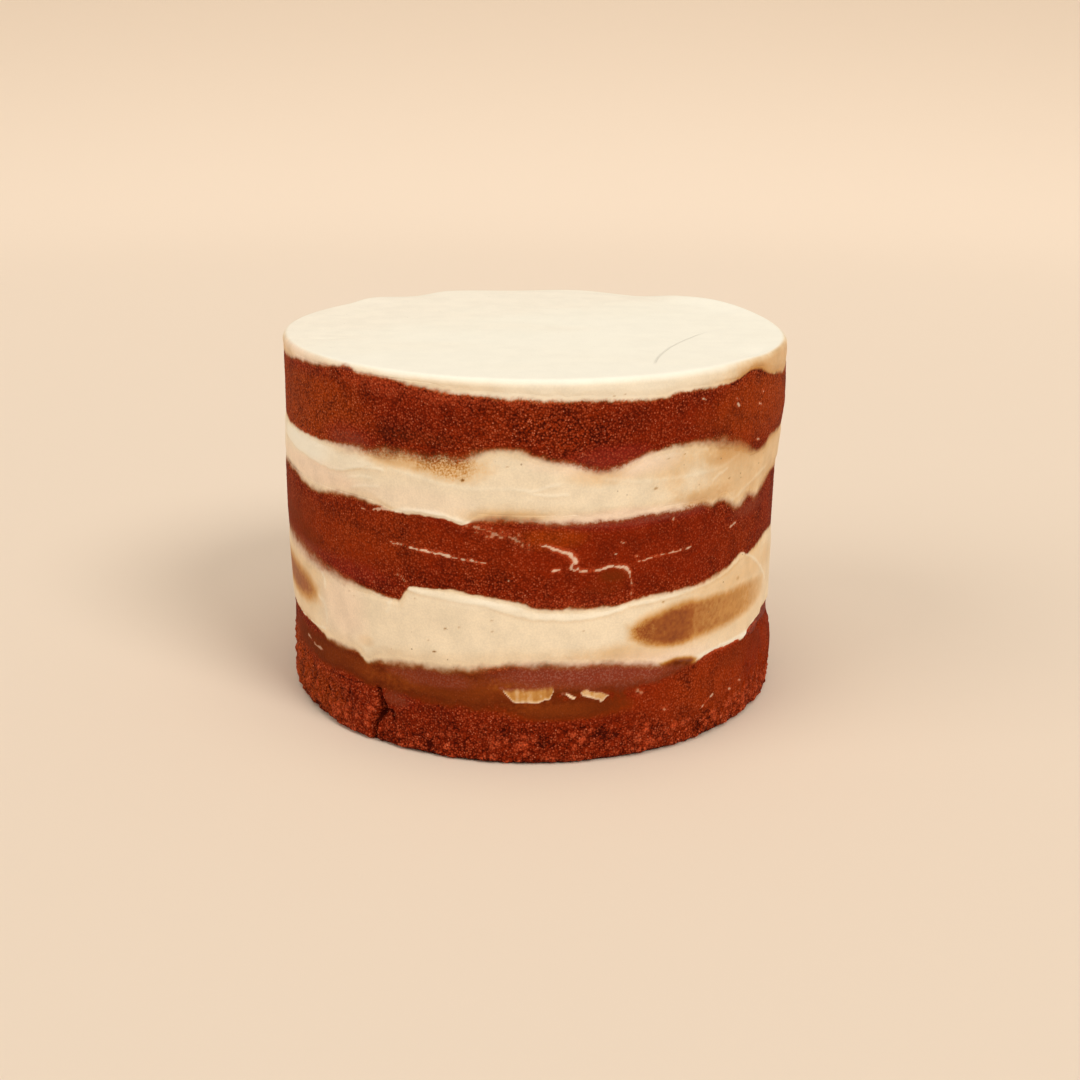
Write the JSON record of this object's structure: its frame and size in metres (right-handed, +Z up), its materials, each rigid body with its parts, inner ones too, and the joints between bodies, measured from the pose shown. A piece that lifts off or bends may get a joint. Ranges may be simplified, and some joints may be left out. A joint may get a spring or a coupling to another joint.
{
  "type": "naked layer cake",
  "caption": "Round uncut naked cake: red sponge layers, cream fillings scraped thin and wavy over the side, flat cream top.",
  "frame": {"origin": "centre of the flat underside", "axes": "+Z up through the layers; the side shown in the picture faces -Y"},
  "size_m": [0.1533, 0.1536, 0.1112],
  "materials": {
    "sponge": "moist open crumb, matte",
    "cream": "soft scraped cream, satin"
  },
  "bodies": {
    "root": {"sponge_bottom": "sponge", "cream_lower": "cream", "sponge_middle": "sponge", "cream_upper": "cream", "sponge_top": "sponge", "icing_top": "cream"}
  },
  "joints": []
}
